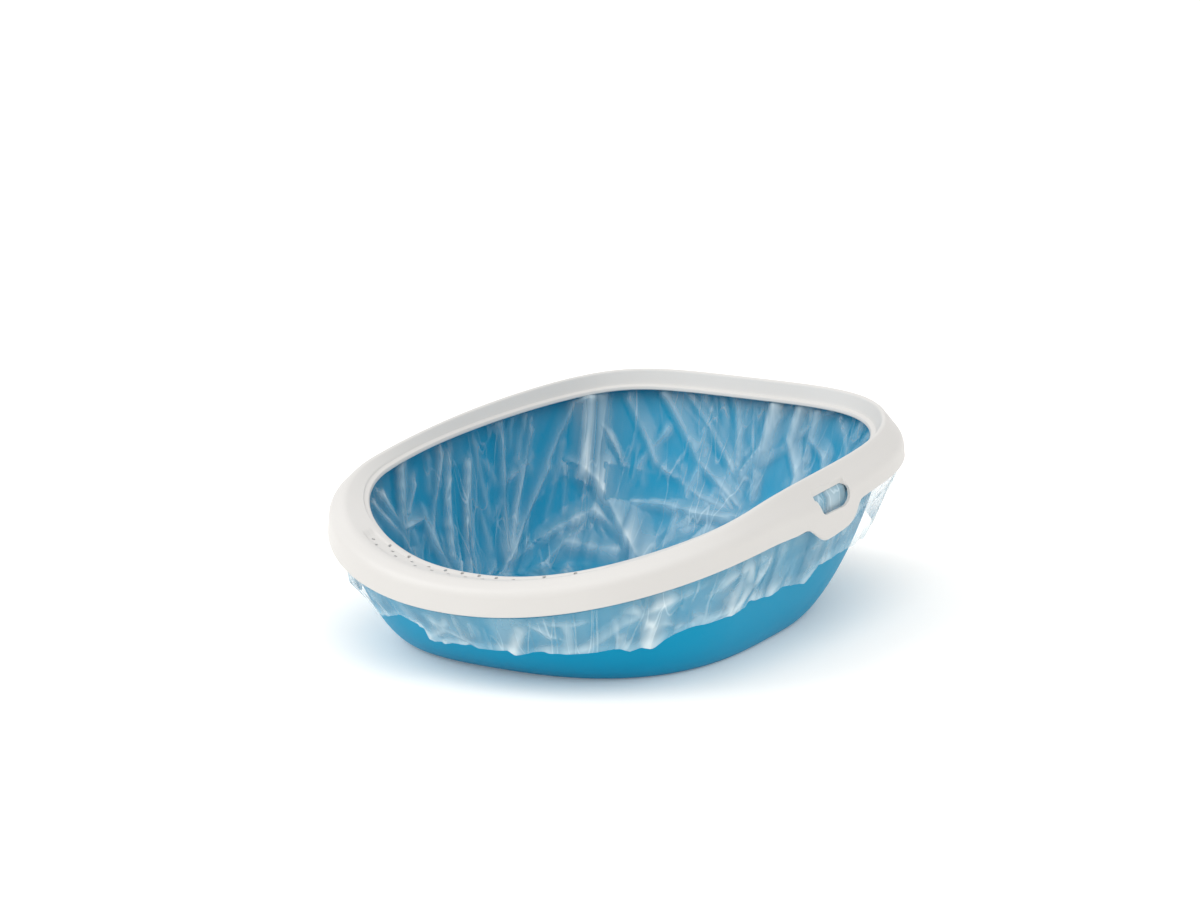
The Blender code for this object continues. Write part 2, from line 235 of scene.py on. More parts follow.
def outline(shape, shares):
    """Points at these shares of the half outline, mirrored to a whole loop, and their normals."""
    length, x, y = half_outline(*shape)
    at = np.asarray(shares) * length[-1]
    step = length[-1] / 400
    before, after = np.maximum(at - step, 0), np.minimum(at + step, length[-1])
    tangent_x = np.interp(after, length, x) - np.interp(before, length, x)
    tangent_y = np.interp(after, length, y) - np.interp(before, length, y)
    tangent_y[0] = tangent_y[-1] = 0.0
    half = np.column_stack([np.interp(at, length, x), np.interp(at, length, y)])
    normals = np.column_stack([tangent_y, -tangent_x])
    normals /= np.linalg.norm(normals, axis=1)[:, None]
    mirror = np.array([-1.0, 1.0])
    return np.vstack([half, half[-2:0:-1] * mirror]), np.vstack([normals, normals[-2:0:-1] * mirror])


class Ring:
    """The rim's and the base's outlines at the same stations, and the loops made from them."""

    def __init__(self, shares):
        self.line, self.normal = outline(RIM_OUTLINE, shares)
        self.base, self.base_normal = outline(BASE_OUTLINE, shares)
        self.count = len(self.line)
        self.y = self.line[:, 1]
        self.skirt = skirt_height(self.y)
        half = np.asarray(shares) / 2
        self.round = np.concatenate([half, 1 - half[-2:0:-1]])

    def loop(self, inset, up):
        flat = self.line - self.normal * np.broadcast_to(inset, self.count)[:, None]
        return np.column_stack([flat, self.skirt + up])

    def crease(self):
        return np.full(self.count, CREASE_INSET), between(CREASE_UP, self.y)

    def ridge(self):
        return between(RIDGE_INSET, self.y), between(RIDGE_UP, self.y) + dip(self.y)

    def inner_edge(self):
        inset, up = self.ridge()
        towards_front = np.maximum(-self.y, 0) / (LENGTH / 2)
        width = LAND_WIDTH + ENTRY_LAND_EXTRA * towards_front**2
        return inset + width, up - between(LAND_DROP, self.y)

    def floor_loops(self, shares, lift=0.0):
        """Loops on the floor, at these shares of the way from its middle to its edge."""
        foot = self.wall(0.0, lift)
        loops = []
        for share in shares:
            loop = foot.copy()
            loop[:, :2] = FLOOR_MIDDLE + (foot[:, :2] - FLOOR_MIDDLE) * share
            loops.append(loop)
        return loops

    def tray_top(self):
        inset, up = self.ridge()
        return inset + 0.0006, up - 0.0070

    def wall(self, share, lift=0.0):
        """A loop on the pan's inner wall: share 0 is the floor's edge and 1 the wall's top."""
        reach = (1 - (1 - share) ** WALL_POWER) ** (1 / WALL_POWER)
        inset, up = self.tray_top()
        top = self.loop(inset + lift, up)
        foot = np.column_stack([self.base - self.base_normal * lift, np.full(self.count, FLOOR + lift)])
        loop = foot + (top - foot) * reach
        loop[:, 2] = foot[:, 2] + (top[:, 2] - foot[:, 2]) * share
        return loop


def share_at(y):
    """The share of the half outline at which the rim's line has this y."""
    length, _, line_y = half_outline(*RIM_OUTLINE)
    return float(np.interp(y, line_y, length / length[-1]))


def wall_shares(count, last):
    """Shares up the pan's wall that space its loops evenly along the wall's curve."""
    ring = Ring(np.linspace(0, 1, 25))
    shares = np.linspace(0, 1, 240) ** 1.6 * last
    loops = np.array([ring.wall(s) for s in shares])
    steps = np.linalg.norm(np.diff(loops, axis=0), axis=2).mean(axis=1)
    length = np.concatenate([[0.0], np.cumsum(steps)])
    return np.interp(np.linspace(0, length[-1], count), length, shares), length[-1]


def bezier(start, corner, end, count):
    """Rows on the curve from start to end that a corner pulls, without its two ends."""
    t = np.linspace(0, 1, count + 2)[1:-1].reshape(-1, *[1] * np.ndim(start))
    return (1 - t) ** 2 * start + 2 * t * (1 - t) * corner + t**2 * end


def grid_normals(rows):
    """Unit normals of a grid of points whose columns go round a loop."""
    up = np.gradient(rows, axis=0)
    round_ = np.roll(rows, -1, axis=1) - np.roll(rows, 1, axis=1)
    normals = np.cross(round_, up)
    return normals / np.maximum(np.linalg.norm(normals, axis=2), 1e-12)[..., None]


def grid_faces(rows, columns):
    """Faces of a grid whose columns go round a loop, and of the fan that closes its first row. The
    fan's middle is the point after the grid's."""
    faces = []
    for r in range(rows - 1):
        low, high = r * columns, (r + 1) * columns
        for s in range(columns):
            t = (s + 1) % columns
            faces.append((low + s, low + t, high + t, high + s))
    return faces + [(rows * columns, (s + 1) % columns, s) for s in range(columns)]


def add_node(tree, kind, settings=None, inputs=None):
    """Adds a node, sets its properties, and sets or links its inputs."""
    node = tree.nodes.new(kind)
    for name, value in (settings or {}).items():
        setattr(node, name, value)
    for name, value in (inputs or {}).items():
        if isinstance(value, bpy.types.NodeSocket):
            tree.links.new(value, node.inputs[name])
        else:
            node.inputs[name].default_value = value
    return node


def new_material(name):
    material = bpy.data.materials.new(name)
    material.use_nodes = True
    return material, material.node_tree, material.node_tree.nodes["Principled BSDF"]


def moulded_plastic(name, colour, shade, roughness, gloss, grain_mm, grain_depth_mm):
    """Injection-moulded polypropylene: an even body colour that drifts a little where the melt
    cooled, and a fine spark-eroded grain that breaks the highlights into a satin sheen."""
    material, tree, shader = new_material(name)
    place = add_node(tree, "ShaderNodeTexCoord").outputs["Object"]
    drift = add_node(
        tree, "ShaderNodeTexNoise", inputs={"Vector": place, "Scale": 9.0, "Detail": 2.0}
    )
    colours = add_node(
        tree, "ShaderNodeMix", {"data_type": "RGBA"},
        {"Factor": drift.outputs["Fac"], 6: tuple(shade), 7: tuple(colour)},
    )
    grain = add_node(
        tree, "ShaderNodeTexNoise",
        inputs={"Vector": place, "Scale": 1000 / grain_mm, "Detail": 3.0, "Roughness": 0.6},
    )
    sheen = add_node(
        tree, "ShaderNodeMapRange",
        inputs={"Value": grain.outputs["Fac"], "To Min": roughness - 0.05, "To Max": roughness + 0.06},
    )
    bump = add_node(
        tree, "ShaderNodeBump",
        inputs={"Height": grain.outputs["Fac"], "Distance": grain_depth_mm / 1000, "Strength": 0.5},
    )
    tree.links.new(colours.outputs[2], shader.inputs["Base Color"])
    tree.links.new(sheen.outputs["Result"], shader.inputs["Roughness"])
    tree.links.new(bump.outputs["Normal"], shader.inputs["Normal"])
    shader.inputs["IOR"].default_value = 1.49
    shader.inputs["Specular IOR Level"].default_value = gloss
    return material


def crease_layer(tree, place, turn, stretch, scale, width):
    """Fine creases that flow across the film: a line where a stretched noise crosses its middle. Returns
    how bright the line is, a brightness that is partly crease whitening and partly a painted highlight,
    and a height that has a sharp valley along it."""
    turned = add_node(
        tree, "ShaderNodeMapping",
        inputs={"Vector": place, "Rotation": (0.0, 0.0, math.radians(turn)), "Scale": (1.0, stretch, 1.0)},
    )
    noise = add_node(
        tree, "ShaderNodeTexNoise", {"noise_dimensions": "2D"},
        {"Vector": turned.outputs["Vector"], "Scale": scale, "Detail": 0.6},
    )
    offset = add_node(
        tree, "ShaderNodeMath", {"operation": "SUBTRACT"}, {0: noise.outputs["Fac"], 1: 0.5}
    )
    away = add_node(tree, "ShaderNodeMath", {"operation": "ABSOLUTE"}, {0: offset.outputs["Value"]})
    line = add_node(
        tree, "ShaderNodeMapRange", {"interpolation_type": "SMOOTHSTEP"},
        {"Value": away.outputs["Value"], "From Max": width, "To Min": 1.0, "To Max": 0.0},
    )
    return line.outputs["Result"], away.outputs["Value"]


def clear_film(name, colour, haze_colour):
    """Blown polyethylene film, 0.02 mm thick: nearly clear where it lies flat on the pan, milky where it
    stands off or is creased, with fine bright lines along the creases that are partly crease whitening and
    partly painted highlights. The haze attribute also carries painted light on the folds' sides and
    crests."""
    material, tree, shader = new_material(name)
    place = add_node(tree, "ShaderNodeUVMap", {"uv_map": "film"}).outputs["UV"]
    lines, heights = [], []
    for turn, stretch, scale, width in (
        (6.0, 0.16, 34.0, 0.016), (-34.0, 0.20, 46.0, 0.013), (30.0, 0.18, 58.0, 0.014),
    ):
        line, height = crease_layer(tree, place, turn, stretch, scale, width)
        lines.append(line)
        heights.append(height)
    both = add_node(tree, "ShaderNodeMath", {"operation": "MAXIMUM"}, {0: lines[0], 1: lines[1]})
    all_lines = add_node(
        tree, "ShaderNodeMath", {"operation": "MAXIMUM"}, {0: both.outputs["Value"], 1: lines[2]}
    )
    patches = add_node(
        tree, "ShaderNodeTexNoise", {"noise_dimensions": "2D"},
        {"Vector": place, "Scale": 11.0, "Detail": 3.0, "Roughness": 0.6},
    ).outputs["Fac"]
    crumpled = add_node(
        tree, "ShaderNodeMapRange", {"interpolation_type": "SMOOTHSTEP"},
        {"Value": patches, "From Min": 0.40, "From Max": 0.62, "To Min": 0.0, "To Max": 0.20},
    ).outputs["Result"]
    # Bright crease lines: partly crease whitening, partly painted highlights.
    streaks = add_node(
        tree, "ShaderNodeMath", {"operation": "MULTIPLY"}, {0: all_lines.outputs["Value"], 1: crumpled}
    ).outputs["Value"]
    mottle = add_node(
        tree, "ShaderNodeMapRange",
        inputs={"Value": heights[0], "From Max": 0.22, "To Min": 0.75, "To Max": 1.45},
    ).outputs["Result"]
    # The haze attribute carries milkiness plus painted light on the folds' sides and crests.
    haze_and_painted_light = add_node(tree, "ShaderNodeAttribute", {"attribute_name": "haze_and_painted_light"}).outputs["Fac"]
    body = add_node(
        tree, "ShaderNodeMath", {"operation": "MULTIPLY"}, {0: haze_and_painted_light, 1: mottle}
    ).outputs["Value"]
    alpha = add_node(
        tree, "ShaderNodeMath", {"operation": "ADD", "use_clamp": True}, {0: body, 1: streaks}
    ).outputs["Value"]
    tint = add_node(
        tree, "ShaderNodeMix", {"data_type": "RGBA"},
        {"Factor": alpha, 6: tuple(colour), 7: tuple(haze_colour)},
    )
    tree.links.new(tint.outputs[2], shader.inputs["Base Color"])
    tree.links.new(alpha, shader.inputs["Alpha"])
    normal = None
    for height, distance in zip(heights, (0.012, 0.008, 0.006)):
        bump = add_node(
            tree, "ShaderNodeBump", inputs={"Height": height, "Distance": distance, "Strength": 0.7}
        )
        if normal:
            tree.links.new(normal, bump.inputs["Normal"])
        normal = bump.outputs["Normal"]
    tree.links.new(normal, shader.inputs["Normal"])
    shader.inputs["Roughness"].default_value = 0.16
    shader.inputs["IOR"].default_value = 1.51
    return material


def studio_floor(name, colour):
    """Matt painted studio floor, with a barely visible unevenness."""
    material, tree, shader = new_material(name)
    place = add_node(tree, "ShaderNodeTexCoord").outputs["Object"]
    noise = add_node(tree, "ShaderNodeTexNoise", inputs={"Vector": place, "Scale": 40.0})
    sheen = add_node(
        tree, "ShaderNodeMapRange",
        inputs={"Value": noise.outputs["Fac"], "To Min": 0.82, "To Max": 0.95},
    )
    tree.links.new(sheen.outputs["Result"], shader.inputs["Roughness"])
    shader.inputs["Base Color"].default_value = tuple(colour)
    shader.inputs["Specular IOR Level"].default_value = 0.15
    shader.inputs["Emission Color"].default_value = (1.0, 1.0, 1.0, 1.0)
    shader.inputs["Emission Strength"].default_value = 0.11
    return material


def face_outwards(mesh):
    """Drops points that no face uses, and turns the faces outwards."""
    work = bmesh.new()
    work.from_mesh(mesh)
    bmesh.ops.delete(work, geom=[v for v in work.verts if not v.link_faces], context="VERTS")
    bmesh.ops.recalc_face_normals(work, faces=work.faces)
    work.to_mesh(mesh)
    work.free()


def shade(obj, angle):
    """Smooth shading, with edges sharp past this angle in degrees."""
    obj.data.shade_smooth()
    obj.data.set_sharp_from_angle(angle=math.radians(angle))


def finish_mesh(obj, material, angle):
    """Outward faces, smooth shading with sharp edges past this angle, and the material."""
    face_outwards(obj.data)
    shade(obj, angle)
    if material.name not in obj.data.materials:
        obj.data.materials.append(material)


def link_object(name, data):
    obj = bpy.data.objects.new(name, data)
    bpy.context.scene.collection.objects.link(obj)
    return obj


def settle(obj):
    """Turns what the object's modifiers make into its plain mesh."""
    bpy.context.view_layer.update()
    depsgraph = bpy.context.evaluated_depsgraph_get()
    mesh = bpy.data.meshes.new_from_object(obj.evaluated_get(depsgraph), depsgraph=depsgraph)
    obj.modifiers.clear()
    obj.data = mesh


def rounded_polygon(corners, steps=5):
    """A closed outline of (y, z) points from corners with radii."""
    points = []
    count = len(corners)
    for i in range(count):
        before, here, after = (np.array(corners[(i + k) % count][:2]) for k in (-1, 0, 1))
        cut = corners[i][2]
        start = here + (before - here) / np.linalg.norm(before - here) * cut
        end = here + (after - here) / np.linalg.norm(after - here) * cut
        points += [start, *bezier(start, here, end, steps), end]
    return points


def prism(name, outline_yz, low_x, high_x):
    """A solid with this outline of (y, z) points, from low_x to high_x."""
    count = len(outline_yz)
    points = [(x, y, z) for x in (low_x, high_x) for y, z in outline_yz]
    faces = [list(range(count)), list(range(count, 2 * count))]
    faces += [[i, (i + 1) % count, (i + 1) % count + count, i + count] for i in range(count)]
    mesh = bpy.data.meshes.new(name)
    mesh.from_pydata(points, [], faces)
    face_outwards(mesh)
    return link_object(name, mesh)


# The rim and the latch tabs come from one grid of points, so that they meet without a seam.


def rim_stations():
    """Shares round the half outline: close together across a latch, and wider elsewhere. Also the
    indices of the two stations at the latch's sides."""
    low, high = share_at(LATCH_Y - LATCH_HALF), share_at(LATCH_Y + LATCH_HALF)
    near, far = share_at(LATCH_Y - LATCH_HALF - 0.030), share_at(LATCH_Y + LATCH_HALF + 0.012)
    parts = [
        np.linspace(0, near, 84)[:-1], np.linspace(near, low, 18)[:-1],
        np.linspace(low, high, 74)[:-1], np.linspace(high, far, 9)[:-1], np.linspace(far, 1, 70),
    ]
    first = len(parts[0]) + len(parts[1])
    return np.concatenate(parts), first, first + len(parts[2])


def lobe_edge(y):
    """Height of the skirt's lower edge above its own line."""
    table = np.array(LOBE_EDGE)
    fine = np.linspace(table[0, 0], table[-1, 0], 221)
    rough = np.interp(fine, table[:, 0], table[:, 1])
    kernel = np.hanning(13)
    smooth = np.convolve(np.pad(rough, 6, mode="edge"), kernel / kernel.sum(), mode="valid")
    return np.interp(y, fine, smooth, left=0.0, right=0.0)


def scoop(y, up):
    """How deep the finger scoop above a latch's window is at this y and height over the skirt at
    the latch."""
    share = np.clip((y - SCOOP_Y[0]) / (SCOOP_Y[1] - SCOOP_Y[0]), 0, 1)
    top = SCOOP_TOP_UP[0] + (SCOOP_TOP_UP[1] - SCOOP_TOP_UP[0]) * share
    window_top = WINDOW_TOP_UP + WINDOW_TOP_RISE * share
    depth = np.clip((top - up) / (top - window_top), 0, 1) ** 0.75
    sides = smooth_step(SCOOP_Y[0] - 0.0004, SCOOP_Y[0] + 0.0016, y)
    sides = sides * (1 - smooth_step(SCOOP_Y[1] - 0.0010, SCOOP_Y[1] + 0.0004, y))
    return SCOOP_DEPTH * depth * sides * smooth_step(*SCOOP_FADE_UP, up)


def rim_rows(ring, wall):
    """Rows of the rim's outer skin from the skirt's edge to the lip, rows of its inner skin, and
    the index of the row at the latch tabs' top."""
    crease = np.stack(ring.crease(), axis=1)
    ridge = np.stack(ring.ridge(), axis=1)
    land = np.stack(ring.inner_edge(), axis=1)
    zero = np.zeros(ring.count)
    foot = np.stack([zero, lobe_edge(ring.y) + wall / 2], axis=1)
    foot[:, 0] = CREASE_INSET / crease[:, 1] * foot[:, 1]

    def towards(start, end, reach):
        away = end - start
        return start + away / np.linalg.norm(away, axis=1)[:, None] * reach

    crease_in = towards(crease, foot, CREASE_ROUNDING)
    crease_out = towards(crease, ridge, CREASE_ROUNDING)
    ridge_in = towards(ridge, crease, RIDGE_ROUNDING)
    ridge_out = towards(ridge, land, RIDGE_ROUNDING)
    shares = np.linspace(0, 1, 20)[:, None, None]
    skirt = foot + (crease_in - foot) * shares
    top_up = skirt_height(LATCH_Y) + LATCH_TOP_UP - ring.skirt
    top_share = np.clip((top_up - crease_out[:, 1]) / (ridge_in[:, 1] - crease_out[:, 1]), 0.10, 0.80)
    reaches = [top_share * s for s in np.linspace(0, 1, TAB_BAND_ROWS)]
    reaches += [top_share + (1 - top_share) * s for s in np.linspace(0, 1, 5)[1:]]
    band = [crease_out + (ridge_in - crease_out) * reach[:, None] for reach in reaches]
    rows = [*skirt, *bezier(crease_in, crease, crease_out, CREASE_ROWS), *band]
    top_row = len(skirt) + CREASE_ROWS + TAB_BAND_ROWS - 1
    rows += list(bezier(ridge_in, ridge, ridge_out, 6)) + [ridge_out]
    step = land - np.array([STEP_BACK, 0.0])
    step[:, 1] += 0.0004
    first = len(rows)
    rows += [ridge_out + (step - ridge_out) * s for s in np.linspace(0, 1, 18)[1:]]
    after_land = len(rows)
    plain = list(rows)
    low_step = step + np.array([0.0007, -STEP_DROP])
    ledge = land + np.array([-0.0014, -STEP_DROP - 0.0004])
    lip = land + np.array([0.0, -STEP_DROP - 0.0018])
    end = np.stack([land[:, 0] + 0.0003, land[:, 1] - INNER_LIP + wall / 2], axis=1)
    rows += [low_step, (low_step + ledge) / 2, ledge]
    rows += list(bezier(ledge, land + np.array([0.0, -STEP_DROP - 0.0005]), lip, 2)) + [lip, end]
    under = land - np.array([0.0, STEP_DROP])
    plain += [step + (under - step) * s for s in (0.2, 0.45, 0.7)]
    plain += list(bezier(plain[-1], under, lip, 2)) + [lip, end]

    def points(sections):
        return np.array([ring.loop(row[:, 0], row[:, 1]) for row in sections])

    outer, base = points(rows), points(plain)
    normals = grid_normals(base)
    inner = base - normals * wall
    x, y = outer[..., 0], outer[..., 1]
    over_latch = outer[..., 2] - skirt_height(LATCH_Y)
    near_latch = np.abs(y - LATCH_Y) < LATCH_HALF
    depth = np.where(near_latch, scoop(y, over_latch), 0.0)
    depth[top_row:] = 0.0
    outer -= normals * depth[..., None]
    inner -= normals * depth[..., None]
    span = np.linalg.norm(outer[after_land - 1] - outer[first - 1], axis=1)
    for r in range(first, after_land):
        from_ridge = np.linalg.norm(outer[r] - outer[first - 1], axis=1)
        inside = smooth_step(CRESCENT_MARGIN[0] - 0.002, CRESCENT_MARGIN[0], from_ridge)
        inside *= 1 - smooth_step(-CRESCENT_MARGIN[1], -CRESCENT_MARGIN[1] + 0.002, from_ridge - span)
        inside *= 1 - smooth_step(CRESCENT_HALF - 0.002, CRESCENT_HALF + 0.001, np.abs(x[r]))
        inside *= y[r] < -0.1
        outer[r] -= normals[r] * (RECESS * inside)[:, None]
        inner[r] -= normals[r] * (RECESS * inside)[:, None]
    return outer, inner, top_row


def edge_rows(outer_end, inner_end, outer_before):
    """Three rows round a wall's free edge."""
    centre = (outer_end + inner_end) / 2
    across = outer_end - centre
    out = outer_end - outer_before
    out /= np.linalg.norm(out, axis=1)[:, None]
    reach = np.linalg.norm(across, axis=1)[:, None]
    return [
        centre + across * math.cos(a) + out * reach * math.sin(a)
        for a in (math.pi / 4, math.pi / 2, 3 * math.pi / 4)
    ]


def rim_solid(name, ring, outer, inner, top_row, zones, tab):
    """The closed mesh of the rim without its tabs, or of one tab. zones are pairs of stations."""
    foot = edge_rows(outer[0], inner[0], outer[1])
    lip = edge_rows(outer[-1], inner[-1], outer[-2])
    last = len(outer) - 1
    rows = [*outer, *lip, *inner[::-1], *foot[::-1]]
    count, columns = len(rows), ring.count
    inner_row = {r: last + 4 + last - r for r in range(last + 1)}
    tab_rows = set(range(top_row)) | set(range(inner_row[top_row], count))
    in_zone = np.zeros(columns, bool)
    for low, high in zones:
        in_zone[low:high] = True
    faces = []

    def at(r, s):
        return (r % count) * columns + s % columns

    for r in range(count):
        for s in range(columns):
            cut = r in tab_rows and in_zone[s]
            if cut == tab:
                faces.append((at(r, s), at(r, s + 1), at(r + 1, s + 1), at(r + 1, s)))
    for low, high in zones:
        for s in range(low, high):
            outside, inside = (at(top_row, s), at(top_row, s + 1)), inner_row[top_row]
            faces.append((*outside, at(inside, s + 1), at(inside, s)))
        for s in (low, high):
            for r in range(top_row):
                faces.append((at(r, s), at(r + 1, s), at(inner_row[r + 1], s), at(inner_row[r], s)))
            faces.append((at(0, s), *[at(count - 1 - k, s) for k in range(3)], at(inner_row[0], s)))
    mesh = bpy.data.meshes.new(name)
    mesh.from_pydata(np.vstack(rows).tolist(), [], faces)
    return link_object(name, mesh)


def perforation_points(ring, outer, pitch):
    """A staggered grid of points on the entry's recessed crescent, as a mesh of loose points."""
    land = outer[LAND_ROWS]
    tree = kdtree.KDTree(land.shape[0] * land.shape[1])
    flat = land.reshape(-1, 3)
    for i, point in enumerate(flat):
        tree.insert((point[0], point[1], 0.0), i)
    tree.balance()
    ridge_inset, _ = ring.ridge()
    edge_inset, _ = ring.inner_edge()
    front = ring.y < -0.08
    rim = ring.line - ring.normal * ridge_inset[:, None]
    edge = ring.line - ring.normal * edge_inset[:, None]
    rim, edge = rim[front], edge[front]
    points = []
    rows = int(ENTRY_DEPTH / (pitch / 2))
    for row in range(rows):
        y = ENTRY_FRONT + row * pitch / 2
        for k in range(-9, 10):
            x = (k + 0.5 * (row % 2)) * pitch
            to_rim = np.hypot(rim[:, 0] - x, rim[:, 1] - y).min()
            to_edge = np.hypot(edge[:, 0] - x, edge[:, 1] - y).min()
            ridge_margin, edge_margin = (margin + HOLE_MARGIN for margin in CRESCENT_MARGIN)
            between_both = to_rim > ridge_margin and to_edge > edge_margin
            _, index, away = tree.find((x, y, 0.0))
            if between_both and away < 0.004 and abs(x) < CRESCENT_HALF - 0.003:
                points.append((x, y, float(flat[index][2])))
    mesh = bpy.data.meshes.new("perforation_points")
    mesh.from_pydata(points, [], [])
    return link_object("perforation_points", mesh)


def perforation_tree():
    """Cuts a round hole through the mesh at every point of another object."""
    tree = bpy.data.node_groups.new("perforations", "GeometryNodeTree")
    for name, kind in (
        ("Geometry", "NodeSocketGeometry"), ("Points", "NodeSocketObject"),
        ("Hole radius", "NodeSocketFloat"), ("Cut depth", "NodeSocketFloat"),
        ("Material", "NodeSocketMaterial"),
    ):
        tree.interface.new_socket(name=name, in_out="INPUT", socket_type=kind)
    tree.interface.new_socket(name="Geometry", in_out="OUTPUT", socket_type="NodeSocketGeometry")
    given = add_node(tree, "NodeGroupInput").outputs
    spots = add_node(
        tree, "GeometryNodeObjectInfo", {"transform_space": "ORIGINAL"}, {"Object": given["Points"]}
    )
    drill = add_node(
        tree, "GeometryNodeMeshCylinder", inputs={
            "Vertices": 20, "Radius": given["Hole radius"], "Depth": given["Cut depth"],
        },
    )
    drills = add_node(
        tree, "GeometryNodeInstanceOnPoints",
        inputs={"Points": spots.outputs["Geometry"], "Instance": drill.outputs["Mesh"]},
    )
    real = add_node(tree, "GeometryNodeRealizeInstances", inputs={0: drills.outputs["Instances"]})
    cut = add_node(
        tree, "GeometryNodeMeshBoolean", {"operation": "DIFFERENCE", "solver": "EXACT"},
        {0: given["Geometry"], 1: real.outputs[0]},
    )
    whole = add_node(tree, "GeometryNodeRealizeInstances", inputs={0: cut.outputs[0]})
    coloured = add_node(
        tree, "GeometryNodeSetMaterial",
        inputs={"Geometry": whole.outputs[0], "Material": given["Material"]},
    )
    out = add_node(tree, "NodeGroupOutput")
    tree.links.new(coloured.outputs[0], out.inputs[0])
    return tree


def set_inputs(modifier, values):
    """Sets a Geometry Nodes modifier's inputs by the names of the tree's sockets."""
    for item in modifier.node_group.interface.items_tree:
        if item.item_type == "SOCKET" and item.in_out == "INPUT" and item.name in values:
            modifier[item.identifier] = values[item.name]


# Film


def hem_drop(share):
    table = np.array(HEM_DROPS)
    return np.interp(share, table[:, 0], table[:, 1], period=1.0) / 1000


def fold_field(points, folds):
    """Height of the highest fold over each point of the unrolled film. A fold is a tent whose one
    side is steeper, so that neighbours meet in crisp valleys."""
    field = np.zeros(len(points))
    for height, width, line in folds:
        for shift in (-ROUND, 0.0, ROUND):
            moved = np.array(line) + (shift, 0.0)
            if moved[:, 0].max() + width < 0 or moved[:, 0].min() - width > ROUND:
                continue
            for a, b in zip(moved, moved[1:]):
                low, high = np.minimum(a, b) - width, np.maximum(a, b) + width
                near = np.flatnonzero(np.all((points > low) & (points < high), axis=1))
                if not len(near):
                    continue
                away = points[near] - a
                step = b - a
                size = max(float(step @ step), 1e-12)
                t = np.clip(away @ step / size, 0, 1)
                side = away[:, 0] * step[1] - away[:, 1] * step[0]
                distance = np.linalg.norm(away - t[:, None] * step, axis=1)
                reach = np.where(side > 0, width, 0.5 * width)
                field[near] = np.maximum(field[near], height * (1 - distance / reach))
    return field


def random_folds(rng, count, low, high, height, width, lean, length):
    """Folds with seeded random places between low and high on the unrolled film's second axis."""
    folds = []
    for _ in range(count):
        start = np.array([rng.uniform(0, ROUND), rng.uniform(low, high)])
        angle = math.pi / 2 + rng.normal(0, lean)
        reach = rng.uniform(*length)
        middle = start + 0.5 * reach * np.array([math.cos(angle), math.sin(angle)])
        bend = angle + rng.normal(0, 0.35)
        end = middle + 0.5 * reach * np.array([math.cos(bend), math.sin(bend)])
        folds.append((rng.uniform(*height), rng.uniform(*width), (start, middle, end)))
    return folds


def inside_polygon(points, corners):
    """Which of the points lie inside the polygon."""
    inside = np.zeros(len(points), bool)
    count = len(corners)
    for i in range(count):
        (xa, ya), (xb, yb) = corners[i], corners[(i + 1) % count]
        crosses = (points[:, 1] < ya) != (points[:, 1] < yb)
        slope = (xb - xa) / (yb - ya) if yb != ya else 0.0
        inside ^= crosses & (points[:, 0] < xa + (points[:, 1] - ya) * slope)
    return inside


def film_rows(ring):
    """The film's rows without folds, from the floor's middle over the wall and the flange to the
    hem. Returns the rows, and for each row its part and its share or distance."""
    floor_shares = (0.06, 0.25, 0.45, 0.62, 0.76, 0.86, 0.93, 0.97)
    rows = ring.floor_loops(floor_shares, FILM_LIFT)
    parts = ["floor"] * len(rows)
    marks = [(share - 1) * FLOOR_LENGTH for share in floor_shares]
    shares, wall_length = wall_shares(82, 0.97)
    rows += [ring.wall(share, FILM_LIFT) for share in shares]
    parts += ["wall"] * len(shares)
    marks += list(shares)
    top_inset, top_up = ring.tray_top()
    _, crease_up = ring.crease()
    hidden = [
        (top_inset + 0.0013, top_up + 0.0010), (top_inset - 0.0012, top_up + 0.0019),
        (top_inset - 0.0040, top_up + 0.0012), ((top_inset + FILM_INSET) / 2, (top_up + crease_up) / 2),
        (np.full(ring.count, FILM_INSET + 0.0006), crease_up + 0.0004),
        (FILM_INSET, crease_up - 0.0030), (FILM_INSET, crease_up / 2), (FILM_INSET, 0.0005),
    ]
    rows += [ring.loop(inset, up) for inset, up in hidden]
    parts += ["hidden"] * len(hidden)
    marks += [0.0] * len(hidden)
    drop = hem_drop(ring.round)
    heights = np.linspace(0, 1, 60)
    walls = np.array([ring.wall(s) for s in heights])
    insets = np.einsum("rsk,sk->rs", ring.line[None] - walls[..., :2], ring.normal)
    t = np.linspace(0, 1, HANGING_ROWS)
    outside = np.zeros((HANGING_ROWS, ring.count, 3))
    for s in range(ring.count):
        z = ring.skirt[s] - 0.002 - t * (drop[s] - 0.002)
        wall_inset = np.interp(z, walls[:, s, 2], insets[:, s]) - FLOOR
        hem_inset = wall_inset[-1] - 0.0030
        inset = FILM_INSET + (hem_inset - FILM_INSET) * t
        inset = np.minimum(inset, wall_inset - 0.0020)
        outside[:, s, :2] = ring.line[s] - ring.normal[s] * inset[:, None]
        outside[:, s, 2] = z
    rows += list(outside)
    parts += ["outside"] * HANGING_ROWS
    marks += [k / (HANGING_ROWS - 1) for k in range(HANGING_ROWS)]
    return np.array(rows), np.array(parts), np.array(marks), wall_length


